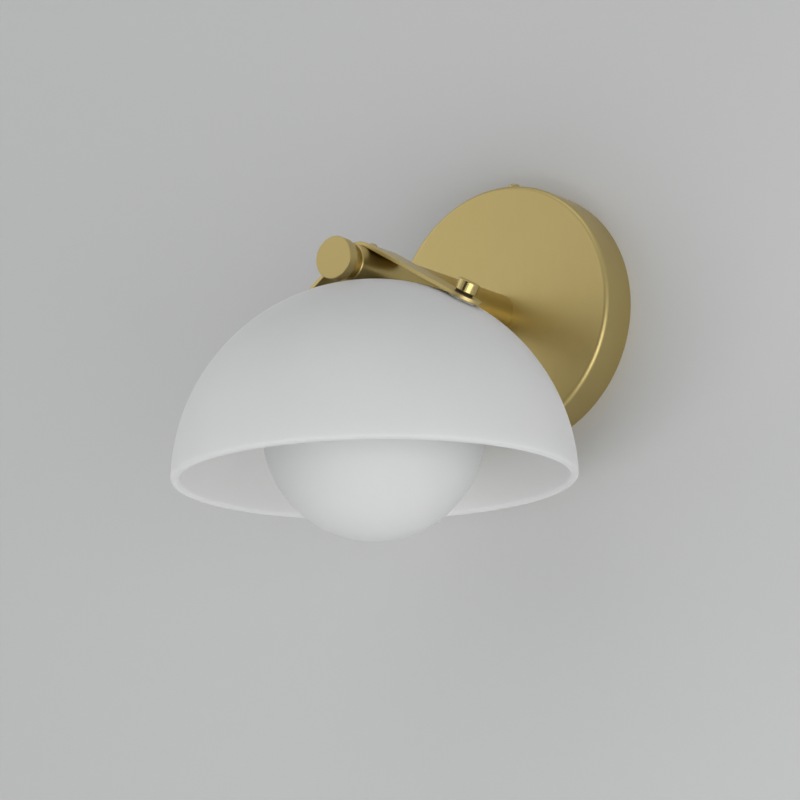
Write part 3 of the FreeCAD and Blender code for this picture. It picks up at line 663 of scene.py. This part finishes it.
def shade():
    """The bowl, as (radius, height): lip, outer sphere, crown fillet, flat, hole and back."""
    centre = (0.0, -shade_centre_drop)
    middle = shade_radius - shade_wall / 2
    inner = shade_radius - shade_wall
    lip = math.asin(shade_lip_rise / middle)
    fillet_z = -shade_crown_drop - shade_crown_fillet
    fillet_x = math.sqrt((shade_radius - shade_crown_fillet) ** 2
                         - (fillet_z + shade_centre_drop) ** 2)
    shoulder = math.atan2(fillet_z + shade_centre_drop, fillet_x)
    lip_centre = (middle * math.cos(lip), centre[1] + middle * math.sin(lip))
    edge = arc_points(lip_centre, shade_wall / 2, lip - math.pi, lip, 25)
    outside = arc_points(centre, shade_radius, lip, shoulder, 90)[1:]
    bend = arc_points((fillet_x, fillet_z), shade_crown_fillet, shoulder, math.pi / 2, 20)[1:]
    flat = softened([(fillet_x - 1, -shade_crown_drop), (shade_stem_hole, -shade_crown_drop),
                     (shade_stem_hole, -shade_crown_drop - shade_wall),
                     (fillet_x - 1, -shade_crown_drop - shade_wall)], 0.3)
    under = arc_points((fillet_x, fillet_z), shade_crown_fillet - shade_wall, math.pi / 2,
                       shoulder, 16)
    inside = arc_points(centre, inner, shoulder, lip, 90)[1:]
    outline = np.concatenate([edge, outside, bend, flat, under, inside])
    made("opal_shade", [turned(outline, head, up, 320)], shade_opal, "fixture",
         ["glass_shade"], 50)


def inner_globe():
    """The ball, as (radius, height): rim of the neck, flare, outer sphere and back inside."""
    flare_x = globe_neck_radius + globe_neck_fillet
    flare_z = math.sqrt((globe_radius + globe_neck_fillet) ** 2 - flare_x ** 2)
    neck_foot = globe_neck_top - globe_neck_straight
    centre = (0.0, neck_foot - flare_z)
    join = math.atan2(flare_z, flare_x)
    inner = globe_radius - globe_wall
    neck_inside = globe_neck_radius - globe_wall
    rim = softened([(neck_inside, globe_neck_top - 2), (neck_inside, globe_neck_top),
                    (globe_neck_radius, globe_neck_top), (globe_neck_radius, neck_foot)],
                   [0, 0.5, 0.5, 0])
    flare = arc_points((flare_x, neck_foot), globe_neck_fillet, math.pi, math.pi + join, 12)[1:]
    ball = arc_points(centre, globe_radius, join, -math.pi / 2, 110)[1:]
    hollow = arc_points(centre, inner, -math.pi / 2, math.acos(neck_inside / inner), 90)
    outline = np.concatenate([rim, flare, ball, hollow, rim[:1]])
    made("opal_globe", [turned(outline, head, up, 256)], globe_opal, "globe", ["globe"], 50)


canopy()
side_screws()
arm()
nipple_and_stem()
strap()
strap_screw()
thumb_nuts()
shade()
inner_globe()


# ---- wall, floor, lamps and camera ------------------------------------------------

def wall_paint(name, colour, one_sided):
    """Pale paint. A one-sided sheet is clear from behind, and lets soft light through it."""
    f = Finish(name, Roughness=0.85, Specular_IOR_Level=0.1)
    grain = f.noise(f.place(), 140.0, 3.0, 0.6)
    f.show(Base_Color=f.mixed(grain, tuple(c * 0.985 for c in colour), colour))
    f.relief(grain, 0.0001)
    if one_sided:
        tree = f.tree
        ray = tree.nodes.new("ShaderNodeLightPath")
        seen = f.sum("MAXIMUM", Wire(f, ray.outputs["Is Camera Ray"]),
                     Wire(f, ray.outputs["Is Glossy Ray"]))
        seen = f.sum("MAXIMUM", seen, Wire(f, ray.outputs["Is Transmission Ray"]))
        facing = 1 - f.node("ShaderNodeNewGeometry", output=6)
        clear = tree.nodes.new("ShaderNodeBsdfTransparent")
        shown = f.node("ShaderNodeMixShader", None,
                       {0: seen * facing, 1: Wire(f, clear.outputs[0]),
                        2: Wire(f, f.shader.outputs[0])})
        f.feed(tree.nodes["Material Output"].inputs["Surface"], shown)
    return f.material


def sheet(name, corners, paint, faces=((0, 1, 2, 3),)):
    """A flat piece of the setting, from its corners in metres."""
    mesh = bpy.data.meshes.new(name)
    mesh.from_pydata(corners, [], faces)
    mesh.materials.append(paint)
    thing = bpy.data.objects.new(name, mesh)
    bpy.context.scene.collection.objects.link(thing)
    return thing


def wall(paint):
    """A flat ring in the plane Y = 0: the wall, open where the canopy covers its box."""
    sides, wall_reach = 96, 6.0
    angle = np.arange(sides) * 2 * np.pi / sides
    circle = np.stack([np.cos(angle), 0 * angle, np.sin(angle)], 1)
    near, far = np.arange(sides), np.arange(sides) + sides
    faces = np.stack([near, far, np.roll(far, -1), np.roll(near, -1)], 1)
    hole = (canopy_radius - 0.4) * MM
    corners = np.concatenate([hole * circle, wall_reach * circle])
    sheet("wall", corners.tolist(), paint, faces.tolist())


def room_setting():
    """The wall, a floor well below the piece and an even light from all sides."""
    wall_colour = (0.605, 0.61, 0.61)
    floor_colour = (0.78, 0.785, 0.785)
    far, level = 9, -0.9
    even_light = 0.48
    wall(wall_paint("wall_paint", wall_colour, True))
    sheet("floor", [(-far, -far, level), (far, -far, level), (far, far, level),
                    (-far, far, level)],
          wall_paint("floor_paint", floor_colour, False))
    world = bpy.data.worlds.new("room")
    bpy.context.scene.world = world
    world.use_nodes = True
    air = world.node_tree.nodes["Background"]
    air.inputs["Color"].default_value = (1, 1, 1, 1)
    air.inputs["Strength"].default_value = even_light


def softbox(name, direction, distance, width, height, power):
    """A rectangular lamp at a distance from the shade's middle, turned to face it."""
    below_arm = -0.06
    aim = Vector((0, -head_reach * MM, below_arm))
    towards = Vector(direction).normalized()
    lamp = bpy.data.lights.new(name, "AREA")
    lamp.shape = "RECTANGLE"
    lamp.size, lamp.size_y = width, height
    lamp.energy = power
    holder = bpy.data.objects.new(name, lamp)
    holder.location = aim + towards * distance
    holder.rotation_euler = towards.to_track_quat("Z", "Y").to_euler()
    holder.visible_camera = False
    bpy.context.scene.collection.objects.link(holder)


def dark_card():
    """A dark sheet behind the lamps, seen only in reflections, for the dark bands on metal."""
    f = Finish("card_black", Roughness=1.0)
    spot = f.noise(f.place(), 12.0)
    f.show(Base_Color=f.mixed(spot, (0.004, 0.004, 0.004), (0.008, 0.008, 0.008)))
    card = sheet("dark_card", [(0.05, -2.25, -0.9), (0.85, -2.15, -0.9), (0.85, -2.15, 0.5),
                               (0.05, -2.25, 0.5)], f.material)
    card.visible_camera = card.visible_diffuse = card.visible_shadow = False
    card.visible_transmission = False


def camera():
    """The camera, from its place and the directions of its right, down and forward."""
    right = Vector((0.79714, 0.60360, -0.01505))
    down = Vector((-0.14970, 0.17342, -0.97340))
    forward = Vector((-0.58494, 0.77820, 0.22860))
    sensor_width, picture_pixels, focal_pixels = 36.0, 800, 2873.8
    lens = bpy.data.cameras.new("camera")
    lens.sensor_width = sensor_width
    lens.lens = focal_pixels * sensor_width / picture_pixels
    view = bpy.data.objects.new("camera", lens)
    turn = Matrix((right, -down, -forward)).transposed().to_4x4()
    view.matrix_world = Matrix.Translation((0.77155, -1.12663, -0.35901)) @ turn
    bpy.context.scene.collection.objects.link(view)
    bpy.context.scene.camera = view


room_setting()
softbox("left_box", (-0.66, -0.74, 0.12), 1.3, 0.9, 1.0, 1.0)
softbox("high_left_box", (-0.80, -0.35, 0.50), 1.3, 0.9, 1.0, 1.5)
softbox("top_box", (0.10, -0.45, 0.90), 1.4, 1.0, 1.0, 1.6)
softbox("right_box", (0.85, -0.38, -0.36), 1.2, 1.0, 0.8, 5.0)
softbox("low_box", (0.1, -0.75, -0.65), 1.2, 1.0, 0.8, 5.6)
softbox("back_box", (-0.45, 0.80, 0.35), 1.3, 0.9, 0.9, 2.5)
dark_card()
camera()
bpy.context.scene.view_settings.view_transform = "Standard"
